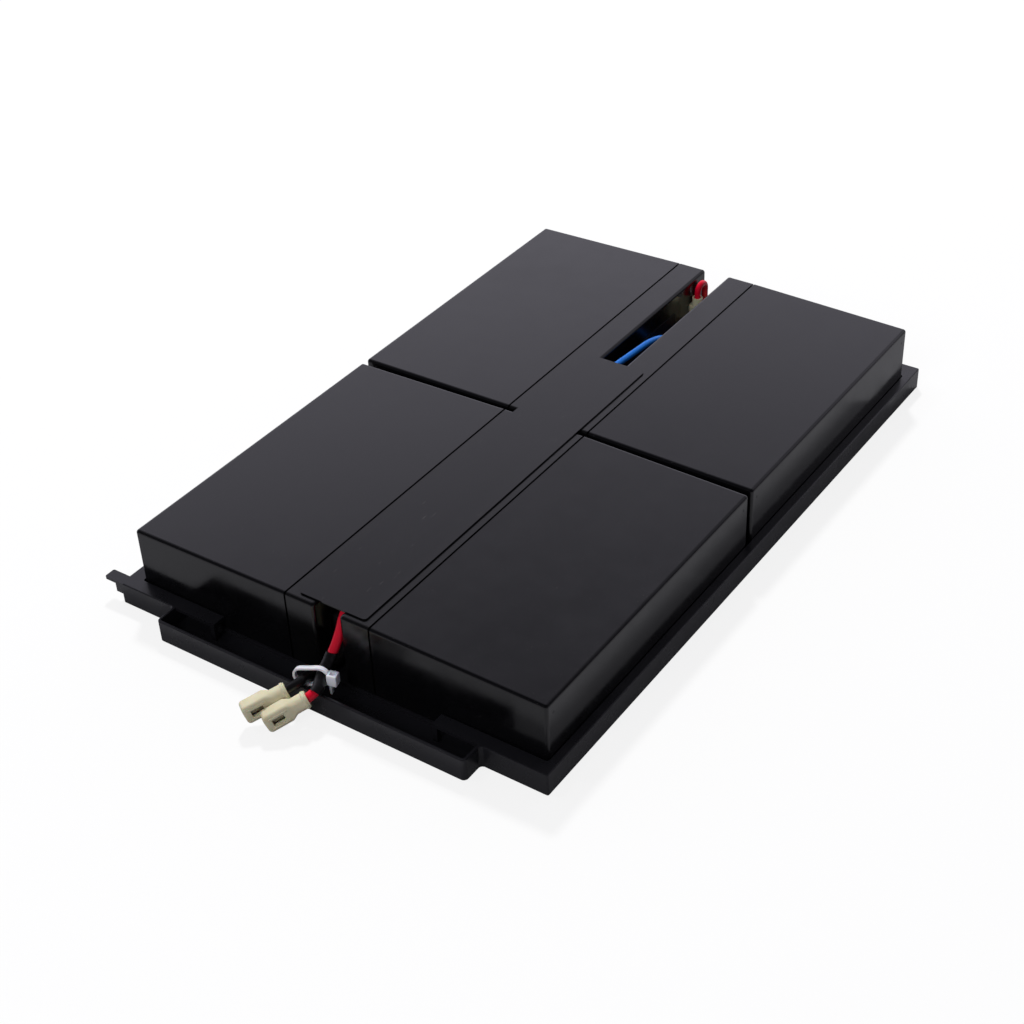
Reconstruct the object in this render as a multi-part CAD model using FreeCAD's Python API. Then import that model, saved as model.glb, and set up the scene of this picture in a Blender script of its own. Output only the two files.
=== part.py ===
import FreeCAD, Part
import math
import os

# A UPS battery cartridge: four flat sealed batteries lie two by two in a moulded tray, with
# their lids facing a wiring channel along the middle. Millimetres, +Z up. The origin is on
# the tray's underside, below the middle of the four batteries; +Y runs from the front of
# the tray, where the two leads come out, to the back.

V = FreeCAD.Vector
UP = V(0, 0, 1)

# Batteries, lying on one side
battery_length = 151.0          # along Y
battery_width = 94.0            # along X, from the outer end to the lid's face
battery_height = 34.0
battery_gap = 2.0               # between the front and the back pair
channel_width = 12.6            # between the facing lids
lid_depth = 14.7                # along X
case_draft = 1.3                # how much lower the top is at the outer end
end_draft = 0.5                 # how much each end face runs in at the outer end
edge_round = 1.4
seam_width = 0.9
seam_depth = 0.9

# Terminals in the lids
terminal_inset = 13.0           # from the battery's end
well_height = 11.0
well_width = 8.0
well_round = 2.0
well_depth = 4.5
seal_depth = 1.5
blade_width = 6.35
blade_thickness = 0.8
blade_root = 9.0                # how deep the blade is set below the lid's face
blade_reach = 4.4               # how far it stands out of the lid's face
vent_length = 92.0
vent_width = 15.0
vent_thickness = 1.2
vent_recess = 1.0
vent_slot = 1.2

# Push-on connectors on the terminals
grip_height = 7.4
grip_thickness = 2.6
grip_slit = 1.6
grip_mouth = 2.4                # how far the metal reaches into the well
grip_wall = 0.4                 # metal past the blade's tip
grip_round = 1.2
wire_offset = 3.0               # wire axis to the lid's face
barrel_length = 2.8
barrel_radius = 1.75
sleeve_wall = 1.0
sleeve_lip = 0.2                # sleeve past the metal, toward the battery
sleeve_neck = 5.0
neck_wall = 0.75
bore_clearance = 0.1

# Wires
jumper_diameter = 3.0
lead_diameter = 4.0
shrink_wall = 0.5
bend_share = 0.45               # of the shorter of its two runs, taken by each bend

# Tray
floor_thickness = 3.0
wall = 1.4
recess_clearance = 0.3
above = 1.0                     # how far cuts run past the face that they open
ledge_height = 10.0
ledge_left = 7.2
ledge_right = 4.2
ledge_front = 6.6
ledge_back = 10.0
corner_round = 0.8
brow_round = 0.5                # along the top edge of the skirt
rib_pitch = 38.0
rib_thickness = 1.2
rib_height = 6.0

# Pocket for the leads at the front of the tray
pocket_width = 152.6
pocket_reach = 10.1             # past the front skirt
pocket_floor = 1.5
pocket_wall = 1.2
pocket_round = 2.0
notch_round = 1.8
finger_length = 22.0
finger_thickness = 1.5
post_side = 2.2

# Catch at the front left corner of the tray
lug_reach = 8.8
lug_width = 5.4
lug_thickness = 1.3
lug_step_reach = 3.0
lug_step_drop = 5.5

# Cover over the channel
cover_width = 32.4
cover_offset = 0.7
cover_length = 204.0
cover_setback = 3.0
cover_thickness = 0.7
cover_round = 1.5

# Connectors at the ends of the leads
plug_length = 18.5
plug_width = 9.0
plug_thickness = 5.8
plug_round = 1.4
plug_barrel_radius = 3.4
plug_barrel_length = 6.0
plug_blend = 2.5
plug_ring_flat = 0.3            # flats on the ring where the barrel meets the body
plug_ring_round = 3.0
plug_wall = 1.1
plug_grip_setback = 1.2         # metal behind the mouth
plug_wire_depth = 3.5
window_length = 5.0
window_width = 3.4

# Cable tie
strap_width = 2.0
strap_thickness = 1.0
strap_clearance = 0.9
strap_setback = 1.6             # from the bend of the red lead, toward the connectors
strap_turn = 14.0               # degrees about Z
tie_head_length = 5.0
tie_head_depth = 4.2
tie_tail = 5.0
tie_head_lip = 1.0              # head past each edge of the strap
tie_head_round = 0.6
tie_sink = 0.2                  # how far the head is set into the strap
tie_tail_setback = 0.4

battery_bottom = floor_thickness
battery_top = battery_bottom + battery_height
terminal_height = battery_bottom + battery_height / 2
lid_face = channel_width / 2
seam_x = lid_face + lid_depth
outer_x = lid_face + battery_width
front_y = -battery_gap / 2 - battery_length
back_y = -front_y
tray_left = -outer_x - ledge_left
tray_right = outer_x + ledge_right
tray_front = front_y - ledge_front
tray_back = back_y + ledge_back
pocket_left = (tray_left + tray_right - pocket_width) / 2
pocket_right = pocket_left + pocket_width
pocket_front = tray_front - pocket_reach
wire_x = lid_face - wire_offset
wire_reach = grip_height / 2 + barrel_length
upper_start = terminal_height + wire_reach
lower_start = terminal_height - wire_reach
near_y = battery_gap / 2 + terminal_inset
far_y = battery_gap / 2 + battery_length - terminal_inset

made = []


def save(name, shape):
    """Checks one sub-part and writes it to its STEP file."""
    if not shape.isValid() or not shape.Solids:
        raise ValueError(name + " is not a closed solid")
    shape.exportStep("parts/" + name + ".step")
    made.append(name)


def block(x0, x1, y0, y1, z0, z1):
    """A box between three pairs of coordinates."""
    return Part.makeBox(x1 - x0, y1 - y0, z1 - z0, V(x0, y0, z0))


def edges_where(shape, test):
    """The straight edges of a shape that pass a test on their two ends."""
    chosen = []
    for edge in shape.Edges:
        if len(edge.Vertexes) == 2 and isinstance(edge.Curve, Part.Line):
            if test(edge.Vertexes[0].Point, edge.Vertexes[1].Point):
                chosen.append(edge)
    return chosen


def along(axis):
    """A test for edges that run along one axis (0, 1 or 2)."""
    others = [i for i in range(3) if i != axis]
    return lambda a, b: all(abs(a[i] - b[i]) < 1e-6 for i in others)


def rounded_block(x0, x1, y0, y1, z0, z1, radius, axis=2):
    """A box whose four edges along one axis are rounded."""
    body = block(x0, x1, y0, y1, z0, z1)
    return body.makeFillet(radius, edges_where(body, along(axis)))


def mirror_x(shape):
    return shape.mirror(V(0, 0, 0), V(1, 0, 0))


def section(x, y0, y1, z0, z1, radius):
    """A rounded rectangle across X, as a wire."""
    corners = [(y1 - radius, z1 - radius, 0), (y0 + radius, z1 - radius, 90),
               (y0 + radius, z0 + radius, 180), (y1 - radius, z0 + radius, 270)]
    arcs = []
    for y, z, start in corners:
        points = []
        for turn in (0, 45, 90):
            angle = math.radians(start + turn)
            points.append(V(x, y + radius * math.cos(angle), z + radius * math.sin(angle)))
        arcs.append(Part.Arc(*points).toShape())
    edges = []
    for here, after in zip(arcs, arcs[1:] + arcs[:1]):
        edges += [here, Part.LineSegment(here.Vertexes[-1].Point, after.Vertexes[0].Point).toShape()]
    return Part.Wire(edges)


# ---------------------------------------------------------------- tray

def tray_outline():
    """The plan of the tray at its outer face, with the pocket, as a face at z = 0."""
    corners = [V(tray_left, tray_front, 0), V(pocket_left, tray_front, 0),
               V(pocket_left, pocket_front, 0), V(pocket_right, pocket_front, 0),
               V(pocket_right, tray_front, 0), V(tray_right, tray_front, 0),
               V(tray_right, tray_back, 0), V(tray_left, tray_back, 0)]
    return Part.Face(Part.makePolygon(corners + corners[:1]))


def upright_edges(shape, places):
    """The vertical edges that stand at one of several (x, y) places."""
    def at_place(a, b):
        on_z = along(2)(a, b)
        return on_z and any(math.hypot(a.x - x, a.y - y) < 0.01 for x, y in places)
    return edges_where(shape, at_place)


def tray_shell():
    """The outer form of the tray, rounded at its corners and along its top edge."""
    body = tray_outline().extrude(V(0, 0, ledge_height))
    body = body.makeFillet(pocket_round, upright_edges(
        body, [(pocket_left, pocket_front), (pocket_right, pocket_front)]))
    body = body.makeFillet(notch_round, upright_edges(
        body, [(pocket_left, tray_front), (pocket_right, tray_front)]))
    body = body.makeFillet(corner_round, upright_edges(
        body, [(tray_left, tray_front), (tray_right, tray_front),
               (tray_right, tray_back), (tray_left, tray_back)]))
    top = max(body.Faces, key=lambda face: face.CenterOfMass.z)
    return body.makeFillet(brow_round, top.Edges)


def battery_recess():
    """The space that the four batteries drop into."""
    side = outer_x + recess_clearance
    end = back_y + recess_clearance
    return rounded_block(-side, side, -end, end, floor_thickness, ledge_height + above, edge_round)


def ledge_hollows():
    """The spaces under the ledge, between the recess wall and the skirt, with ribs left in."""
    inner_x = outer_x + recess_clearance + wall
    inner_y = back_y + recess_clearance + wall
    top = ledge_height - wall
    ring = block(tray_left + wall, tray_right - wall, tray_front + wall, tray_back - wall, -above, top)
    ring = ring.cut(block(-inner_x, inner_x, -inner_y, inner_y, -above, top))
    front = block(pocket_left - wall, pocket_right + wall, tray_front, front_y, -above, top)
    ring = ring.cut(front)
    ribs = []
    count = int(back_y // rib_pitch)
    for step in range(-count, count + 1):
        y = step * rib_pitch
        ribs.append(block(tray_left, tray_right, y - rib_thickness / 2, y + rib_thickness / 2,
                          ledge_height - rib_height, ledge_height))
    count = int(outer_x // rib_pitch)
    for step in range(-count, count + 1):
        x = step * rib_pitch
        ribs.append(block(x - rib_thickness / 2, x + rib_thickness / 2, front_y, tray_back,
                          ledge_height - rib_height, ledge_height))
    return ring.cut(Part.makeCompound(ribs))


def pocket_space():
    """The open inside of the pocket, from its front wall back to the batteries."""
    front = rounded_block(pocket_left + pocket_wall, pocket_right - pocket_wall,
                          pocket_front + pocket_wall, front_y,
                          pocket_floor, ledge_height + above, pocket_round - pocket_wall)
    corner = block(pocket_left + pocket_wall, pocket_right - pocket_wall,
                   tray_front, front_y - recess_clearance, pocket_floor, ledge_height + above)
    step = block(pocket_left + pocket_wall, pocket_right - pocket_wall,
                 front_y - recess_clearance, front_y, floor_thickness, ledge_height + above)
    return front.common(block(tray_left, tray_right, pocket_front, tray_front,
                              0, ledge_height + 2 * above)).fuse([corner, step])


def pocket_finger(root, tip):
    """A strip of the ledge that reaches over the pocket, held up by a post at its tip."""
    low, high = sorted((root, tip))
    back = front_y - recess_clearance
    strip = block(low, high, tray_front, back, ledge_height - finger_thickness, ledge_height)
    edge = math.copysign(post_side, root - tip)
    x0, x1 = sorted((tip, tip + edge))
    post = block(x0, x1, tray_front, tray_front + post_side, pocket_floor, ledge_height)
    return strip.fuse(post)


def corner_lug():
    """The catch at the front left corner: a thin plate on a stepped block."""
    y1 = tray_front + lug_width
    root = tray_left + wall
    plate = block(tray_left - lug_reach, root, tray_front, y1, ledge_height - lug_thickness, ledge_height)
    block_step = block(tray_left - lug_step_reach, root, tray_front, y1,
                       ledge_height - lug_step_drop, ledge_height - lug_thickness)
    tip = edges_where(plate, lambda a, b: along(2)(a, b) and a.x < tray_left)
    return plate.makeFillet(corner_round, tip).fuse(block_step)


def tray():
    body = tray_shell().cut([battery_recess(), ledge_hollows(), pocket_space()])
    inner_left = pocket_left + pocket_wall
    inner_right = pocket_right - pocket_wall
    extras = [pocket_finger(inner_left, pocket_left + finger_length),
              pocket_finger(inner_right, pocket_right - finger_length), corner_lug()]
    return body.fuse(extras).removeSplitter()


# ---------------------------------------------------------------- batteries

def prism(corners, run):
    """A solid swept straight from a flat outline."""
    return Part.Face(Part.makePolygon(corners + corners[:1])).extrude(run)


def battery_case():
    """A case on the +X side, centred on Y: drafted toward its outer end."""
    half = battery_length / 2
    upright = prism([V(seam_x, -half, battery_bottom), V(outer_x, -half, battery_bottom),
                     V(outer_x, -half, battery_top - case_draft), V(seam_x, -half, battery_top)],
                    V(0, battery_length, 0))
    level = prism([V(seam_x, -half, battery_bottom), V(outer_x, end_draft - half, battery_bottom),
                   V(outer_x, half - end_draft, battery_bottom), V(seam_x, half, battery_bottom)],
                  V(0, 0, battery_height))
    body = upright.common(level)
    rounded = edges_where(body, lambda a, b: max(a.x, b.x) > (seam_x + outer_x) / 2)
    return body.makeFillet(edge_round, rounded)


def terminal_places():
    """Where the two terminals of a battery centred on Y sit along Y."""
    reach = battery_length / 2 - terminal_inset
    return (-reach, reach)


def terminal_well(y, depth_from, depth_to):
    """A rounded pocket of space in the lid's face, between two depths."""
    return rounded_block(lid_face + depth_from, lid_face + depth_to,
                         y - well_width / 2, y + well_width / 2,
                         terminal_height - well_height / 2, terminal_height + well_height / 2,
                         well_round, 0)


def blade_root_space(y):
    half = blade_width / 2
    return block(lid_face, lid_face + blade_root, y - blade_thickness / 2, y + blade_thickness / 2,
                 terminal_height - half, terminal_height + half)


def vent_space(depth):
    """The shallow recess for the vent strip, between the terminals."""
    return rounded_block(lid_face, lid_face + depth, -vent_length / 2, vent_length / 2,
                         terminal_height - vent_width / 2, terminal_height + vent_width / 2,
                         edge_round, 0)


def battery_lid():
    """A lid on the +X side, centred on Y, with a groove where it meets the case."""
    half = battery_length / 2
    body = block(lid_face, seam_x - seam_width, -half, half, battery_bottom, battery_top)
    rounded = edges_where(body, lambda a, b: min(a.x, b.x) < (lid_face + seam_x) / 2)
    body = body.makeFillet(edge_round, rounded)
    tongue = rounded_block(seam_x - seam_width, seam_x, -half + seam_depth, half - seam_depth,
                           battery_bottom, battery_top - seam_depth, edge_round, 0)
    body = body.fuse(tongue)
    cuts = [vent_space(vent_recess)]
    for y in terminal_places():
        cuts += [terminal_well(y, 0, well_depth), blade_root_space(y)]
    return body.cut(cuts).removeSplitter()


def vent_strip():
    """The welded strip over the vents, with its gas slots."""
    body = vent_space(vent_thickness).translate(V(vent_recess - vent_thickness, 0, 0))
    slots = []
    for step in (-1, 0, 1):
        y = step * vent_length / 3
        slots.append(block(0, seam_x, y - vent_width / 4, y + vent_width / 4,
                           terminal_height - vent_slot / 2, terminal_height + vent_slot / 2))
    return body.cut(slots)


def terminal_seal(y):
    """The coloured resin poured round the foot of a terminal."""
    ring = terminal_well(y, well_depth - seal_depth, well_depth)
    return ring.cut(blade_root_space(y))


def terminal_blade(y):
    """A flat tab with a bevelled tip."""
    half = blade_width / 2
    tip_x = lid_face - blade_reach
    body = block(tip_x, lid_face + blade_root, y - blade_thickness / 2, y + blade_thickness / 2,
                 terminal_height - half, terminal_height + half)
    corners = edges_where(body, lambda a, b: along(1)(a, b) and abs(a.x - tip_x) < 0.01)
    return body.makeChamfer(blade_thickness, corners)


# ---------------------------------------------------------------- connectors on the terminals

def grip_form(length, height, thickness):
    """The rolled metal of a push-on connector: along +X from its mouth at x = 0."""
    body = rounded_block(0, length, -thickness / 2, thickness / 2, -height / 2, height / 2,
                         grip_round, 0)
    slot = block(0, length - grip_wall, -blade_thickness / 2, blade_thickness / 2,
                 -blade_width / 2, blade_width / 2)
    slit = block(0, length - grip_wall, 0, thickness, -grip_slit / 2, grip_slit / 2)
    return body.cut([slot, slit])


def flag_grip(y):
    """The metal on one terminal, with its wire barrel pointing down."""
    length = grip_mouth + blade_reach + grip_wall
    body = grip_form(length, grip_height, grip_thickness)
    body.rotate(V(0, 0, 0), UP, 180)
    body.translate(V(lid_face + grip_mouth, y, terminal_height))
    barrel = Part.makeCylinder(barrel_radius, barrel_length + grip_thickness / 2,
                               V(wire_x, y, lower_start), UP)
    barrel = barrel.cut(block(0, seam_x, y - grip_thickness, y + grip_thickness,
                              terminal_height - grip_height / 2, terminal_height))
    return body.fuse(barrel)


def flag_sleeve(y, wire_diameter):
    """The sleeve over one flag connector, with a neck round the wire."""
    inside_x0 = lid_face - blade_reach - grip_wall
    inside_x1 = lid_face + grip_mouth + sleeve_lip
    half_y = grip_thickness / 2
    half_z = grip_height / 2
    bore = max(wire_diameter / 2 + bore_clearance, barrel_radius)
    neck_radius = bore + neck_wall
    foot = terminal_height - half_z - sleeve_neck
    body = rounded_block(inside_x0 - sleeve_wall, inside_x1,
                         y - half_y - sleeve_wall, y + half_y + sleeve_wall,
                         terminal_height - half_z - sleeve_wall,
                         terminal_height + half_z + sleeve_wall, sleeve_wall, 0)
    neck = Part.makeCylinder(neck_radius, sleeve_neck, V(wire_x, y, foot), UP)
    filled = rounded_block(inside_x0, inside_x1, y - half_y, y + half_y,
                           terminal_height - half_z, terminal_height + half_z,
                           grip_round, 0)
    hole = Part.makeCylinder(bore, sleeve_neck + sleeve_wall, V(wire_x, y, foot), UP)
    return body.fuse(neck).cut([filled, hole])


# ---------------------------------------------------------------- wires

def round_off(points):
    """Straight runs and the arcs between them, each arc as large as its two runs allow."""
    edges, radii = [], []
    start = points[0]
    for before, corner, after in zip(points, points[1:], points[2:]):
        run_in = corner - before
        run_out = after - corner
        half_turn = run_in.getAngle(run_out) / 2
        tangent = bend_share * min(run_in.Length, run_out.Length)
        radius = tangent / math.tan(half_turn)
        arc_in = corner - V(run_in).normalize() * tangent
        arc_out = corner + V(run_out).normalize() * tangent
        toward = ((arc_in + arc_out) / 2 - corner).normalize()
        middle = corner + toward * radius * (1 / math.cos(half_turn) - 1)
        edges.append(Part.LineSegment(start, arc_in).toShape())
        edges.append(Part.Arc(arc_in, middle, arc_out).toShape())
        radii.append(radius)
        start = arc_out
    edges.append(Part.LineSegment(start, points[-1]).toShape())
    return Part.Wire(edges), radii


def tube(path, radius):
    """A round solid along a path, with flat ends."""
    first = path.Edges[0]
    profile = Part.Wire([Part.makeCircle(radius, first.Vertexes[0].Point, first.tangentAt(0))])
    return Part.Solid(path.makePipeShell([profile], True, False))


def cord(name, points, diameter):
    """One wire, with its bend radii and its volume printed as a test of the sweep."""
    path, radii = round_off(points)
    body = tube(path, diameter / 2)
    expected = math.pi * diameter ** 2 / 4 * path.Length
    print(name, "length", round(path.Length, 1), "radii", [round(r, 1) for r in radii],
          "volume ratio", round(body.Volume / expected, 4))
    return body


left_wire = -wire_x
right_wire = wire_x

# The leads leave the front terminals and end in connectors whose axes run from their last bends.
red_plug_aim = V(-0.55, -0.765, -0.335).normalize()
black_plug_aim = V(-0.53, -0.80, -0.28).normalize()
plug_gap = 3.9                  # from the last bend to the connector's rear
red_plug_rear = V(5.4, -173.4, 11.3)
black_plug_rear = V(-3.7, -174.7, 12.2)
red_tie_point = V(4.2, -162.8, 14.7)
black_tie_point = V(-2.2, -163.4, 12.6)

red_lead_points = [
    V(right_wire, -far_y, upper_start), V(right_wire, -far_y, 31.2), V(right_wire, -142.7, 34.3),
    V(3.2, -147.2, 33.6), V(3.6, -154.6, 20.0), red_tie_point,
    red_plug_rear - red_plug_aim * plug_gap, red_plug_rear + red_plug_aim * plug_wire_depth]

black_lead_points = [
    V(left_wire, -far_y, lower_start), V(left_wire, -far_y, 9.0), V(-3.2, -142.5, 5.9),
    V(-3.0, -150.8, 5.5), black_tie_point,
    black_plug_rear - black_plug_aim * plug_gap, black_plug_rear + black_plug_aim * plug_wire_depth]

# The jumpers join the batteries in series: front right, back left, back right, front left.
red_jumper_points = [
    V(right_wire, -near_y, lower_start), V(right_wire, -near_y, 6.6), V(2.8, -5.0, 5.9),
    V(-1.6, 26.0, 6.2), V(-3.4, 138.0, 7.0), V(left_wire, 145.8, 14.6), V(left_wire, 146.2, 32.3),
    V(left_wire, 144.1, 34.4), V(left_wire, 141.1, 34.4), V(left_wire, far_y, 32.3),
    V(left_wire, far_y, upper_start)]

blue_jumper_points = [
    V(left_wire, near_y, upper_start), V(left_wire, near_y, 31.0), V(-3.1, 17.8, 34.4),
    V(-2.2, 30.0, 34.9), V(3.3, 85.0, 34.8), V(4.4, 100.0, 28.6), V(4.1, 117.0, 10.4),
    V(3.6, 129.5, 5.1), V(right_wire, far_y, 6.8), V(right_wire, far_y, lower_start)]

black_jumper_points = [
    V(right_wire, near_y, upper_start), V(right_wire, near_y, 31.0), V(2.7, 9.4, 34.6),
    V(-2.7, -9.4, 34.6), V(left_wire, -near_y, 31.0), V(left_wire, -near_y, upper_start)]


def half_edge(edge, second):
    """The first or the second half of an arc."""
    middle = (edge.FirstParameter + edge.LastParameter) / 2
    if second:
        return edge.Curve.toShape(middle, edge.LastParameter)
    return edge.Curve.toShape(edge.FirstParameter, middle)


def shrink_tube(points, tie_corner):
    """The black tube over a lead, from the bend before the cable tie to the bend after it."""
    path, _ = round_off(points)
    before = 2 * tie_corner - 3
    after = 2 * tie_corner + 1
    covered = Part.Wire([half_edge(path.Edges[before], True)] + path.Edges[before + 1:after]
                        + [half_edge(path.Edges[after], False)])
    return tube(covered, lead_diameter / 2 + shrink_wall).cut(tube(path, lead_diameter / 2))


# ---------------------------------------------------------------- connectors on the leads

def plug_frame(rear, aim):
    """The placement that turns +X into the connector's axis, with its width upright."""
    width = UP - aim * UP.dot(aim)
    width.normalize()
    thickness = aim.cross(width)
    matrix = FreeCAD.Matrix(aim.x, width.x, thickness.x, rear.x,
                            aim.y, width.y, thickness.y, rear.y,
                            aim.z, width.z, thickness.z, rear.z, 0, 0, 0, 1)
    return FreeCAD.Placement(matrix)


def plug_grip_space():
    """Start of the metal inside a front connector, and its end."""
    return plug_barrel_length + plug_blend, plug_length - plug_grip_setback


def plug_housing():
    """A nylon housing along +X: round barrel, flared body, open mouth and a latch window."""
    body_start = plug_barrel_length + plug_blend
    barrel = Part.makeCylinder(plug_barrel_radius, plug_barrel_length, V(0, 0, 0), V(1, 0, 0))
    ring = section(plug_barrel_length, -plug_barrel_radius, plug_barrel_radius,
                   plug_ring_flat - plug_barrel_radius, plug_barrel_radius - plug_ring_flat,
                   plug_ring_round)
    rim = section(body_start, -plug_width / 2, plug_width / 2,
                  -plug_thickness / 2, plug_thickness / 2, plug_round)
    blend = Part.makeLoft([ring, rim], True, True)
    body = Part.Face(rim).extrude(V(plug_length - body_start, 0, 0))
    mouth = block(body_start, plug_length, -plug_width / 2 + plug_wall, plug_width / 2 - plug_wall,
                  -grip_thickness / 2, grip_thickness / 2)
    bore = Part.makeCylinder(lead_diameter / 2 + bore_clearance, plug_wire_depth, V(0, 0, 0), V(1, 0, 0))
    crimp = Part.makeCylinder(barrel_radius, plug_length, V(plug_wire_depth, 0, 0), V(1, 0, 0))
    middle = (body_start + plug_length) / 2
    window = block(middle - window_length / 2, middle + window_length / 2,
                   -window_width / 2, window_width / 2, 0, plug_thickness)
    return barrel.fuse([blend, body]).cut([mouth, bore, crimp, window])


def plug_contact():
    """The metal inside a front connector: rolled grip at the mouth, crimp round the wire."""
    start, end = plug_grip_space()
    width = plug_width - 2 * plug_wall
    grip = grip_form(end - start, width, grip_thickness)
    grip.rotate(V(0, 0, 0), UP, 180)
    grip.rotate(V(0, 0, 0), V(1, 0, 0), 90)
    grip.translate(V(end, 0, 0))
    crimp = Part.makeCylinder(barrel_radius, start - plug_wire_depth, V(plug_wire_depth, 0, 0), V(1, 0, 0))
    return grip.fuse(crimp)


# ---------------------------------------------------------------- cable tie and cover

def slot_wire(x0, z0, x1, z1, radius, y):
    """The outline round two equal circles, in a plane across Y."""
    ahead = V(x1 - x0, 0, z1 - z0).normalize()
    side = V(-ahead.z, 0, ahead.x) * radius
    first = V(x0, y, z0)
    last = V(x1, y, z1)
    return Part.Wire([
        Part.LineSegment(first + side, last + side).toShape(),
        Part.Arc(last + side, last + ahead * radius, last - side).toShape(),
        Part.LineSegment(last - side, first - side).toShape(),
        Part.Arc(first - side, first - ahead * radius, first + side).toShape()])


def cable_tie():
    """A strap round both leads, with its head at the right and a short cut tail below."""
    red, black = red_tie_point, black_tie_point
    inner = lead_diameter / 2 + shrink_wall + strap_clearance
    y = red.y - strap_setback - strap_width / 2
    place = (black.x, black.z + tie_sink, red.x, red.z)
    outside = Part.Face(slot_wire(*place, inner + strap_thickness, y)).extrude(V(0, strap_width, 0))
    inside = Part.Face(slot_wire(*place, inner, y)).extrude(V(0, strap_width, 0))
    head_x = red.x + inner - tie_sink
    head = rounded_block(head_x, head_x + tie_head_depth, y - tie_head_lip, y + strap_width + tie_head_lip,
                         red.z - tie_head_length / 2, red.z + tie_head_length / 2, tie_head_round, 1)
    tail_x = head_x + tie_tail_setback
    tail = block(tail_x, tail_x + strap_thickness, y, y + strap_width,
                 red.z - tie_head_length / 2 - tie_tail, red.z)
    body = outside.fuse([head, tail]).cut(inside)
    body.rotate(V((red.x + black.x) / 2, y + strap_width / 2, red.z), UP, strap_turn)
    return body


def centre_cover():
    """The thin sheet over the channel, resting on the lids."""
    mid = cover_offset
    start = front_y + cover_setback
    return rounded_block(mid - cover_width / 2, mid + cover_width / 2, start, start + cover_length,
                         battery_top, battery_top + cover_thickness, cover_round)


# ---------------------------------------------------------------- assembly

def battery_centre(row):
    return (battery_length + battery_gap) / 2 * (1 if row == "back" else -1)


def placed(shape, row, side):
    """A shape of the +X battery at the middle, moved to its row and its side."""
    moved = shape.copy()
    if side == "left":
        moved = mirror_x(moved)
    moved.translate(V(0, battery_centre(row), 0))
    return moved


# Which end of each battery has its positive terminal, so that the four are in series
positive_end = {("front", "right"): 0, ("back", "left"): 1, ("back", "right"): 1, ("front", "left"): 1}

# The terminals whose connectors have their wire going down; the others go up
wires_down = [("front", "right", 1), ("front", "left", 0), ("back", "right", 1)]


def batteries():
    case, lid, strip = battery_case(), battery_lid(), vent_strip()
    for (row, side), positive in positive_end.items():
        tag = row + "_" + side
        save("case_" + tag, placed(case, row, side))
        save("lid_" + tag, placed(lid, row, side))
        save("vent_strip_" + tag, placed(strip, row, side))
        for end, y in enumerate(terminal_places()):
            pole = tag + ("_positive" if end == positive else "_negative")
            on_lead = row == "front" and end == 0
            diameter = lead_diameter if on_lead else jumper_diameter
            save("terminal_" + pole, placed(terminal_blade(y), row, side))
            save("seal_" + pole, placed(terminal_seal(y), row, side))
            pair = (flag_grip(y), flag_sleeve(y, diameter))
            if (row, side, end) not in wires_down:
                pair = [shape.mirror(V(0, 0, terminal_height), UP) for shape in pair]
            save("grip_" + pole, placed(pair[0], row, side))
            save("sleeve_" + pole, placed(pair[1], row, side))


def wiring():
    save("red_lead", cord("red_lead", red_lead_points, lead_diameter))
    save("black_lead", cord("black_lead", black_lead_points, lead_diameter))
    save("red_jumper", cord("red_jumper", red_jumper_points, jumper_diameter))
    save("blue_jumper", cord("blue_jumper", blue_jumper_points, jumper_diameter))
    save("black_jumper", cord("black_jumper", black_jumper_points, jumper_diameter))
    shrink = shrink_tube(red_lead_points, red_lead_points.index(red_tie_point))
    save("shrink_tube", shrink)
    save("cable_tie", cable_tie().cut(shrink))
    housing, contact = plug_housing(), plug_contact()
    for name, rear, aim in (("red", red_plug_rear, red_plug_aim), ("black", black_plug_rear, black_plug_aim)):
        frame = plug_frame(rear, aim)
        for part, shape in (("connector", housing), ("contact", contact)):
            moved = shape.copy()
            moved.Placement = frame
            save(name + "_" + part, moved)


os.makedirs("parts", exist_ok=True)
save("tray", tray())
batteries()
wiring()
save("centre_cover", centre_cover())
print(len(made), "nodes")
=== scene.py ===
"""The looks of a ups battery cartridge: four sealed batteries on a moulded tray.

The construction comes from the CAD frame. This scene gives each node its
finish, models the small parts that the frame keeps plain, lays the two free
leads as curves, and sets the floor, the light and the camera.
"""

import logging
import math
from dataclasses import dataclass, field
from enum import Enum
from typing import Callable, Optional

import bpy
from mathutils import Matrix, Vector


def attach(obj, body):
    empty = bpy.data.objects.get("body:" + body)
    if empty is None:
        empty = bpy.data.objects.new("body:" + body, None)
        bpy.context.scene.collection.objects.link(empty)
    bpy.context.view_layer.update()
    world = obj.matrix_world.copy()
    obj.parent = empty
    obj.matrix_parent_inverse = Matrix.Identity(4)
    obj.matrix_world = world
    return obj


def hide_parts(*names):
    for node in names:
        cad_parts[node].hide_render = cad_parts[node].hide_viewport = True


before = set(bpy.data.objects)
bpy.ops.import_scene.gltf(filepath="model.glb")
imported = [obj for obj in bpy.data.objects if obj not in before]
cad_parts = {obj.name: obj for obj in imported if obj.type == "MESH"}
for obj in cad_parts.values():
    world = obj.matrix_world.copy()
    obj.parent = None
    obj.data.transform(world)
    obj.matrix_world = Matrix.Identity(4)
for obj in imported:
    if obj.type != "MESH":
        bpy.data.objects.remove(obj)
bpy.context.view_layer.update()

log = logging.getLogger("cartridge")

MM = 0.001
ROOT = "root"


# --------------------------------------------------------------------------
# Options
# --------------------------------------------------------------------------


class Row(Enum):
    """Which row a battery stands in, counted from the leads' end."""

    FRONT = "front"
    BACK = "back"


class Side(Enum):
    """Which side of the wiring channel a battery stands on."""

    LEFT = "left"
    RIGHT = "right"


class Pole(Enum):
    """The two poles of a battery."""

    POSITIVE = "positive"
    NEGATIVE = "negative"


class Grain(Enum):
    """How a surface's fine marks run."""

    EVEN = (1.0, 1.0, 1.0)
    ALONG_Y = (1.0, 0.06, 1.0)


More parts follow.
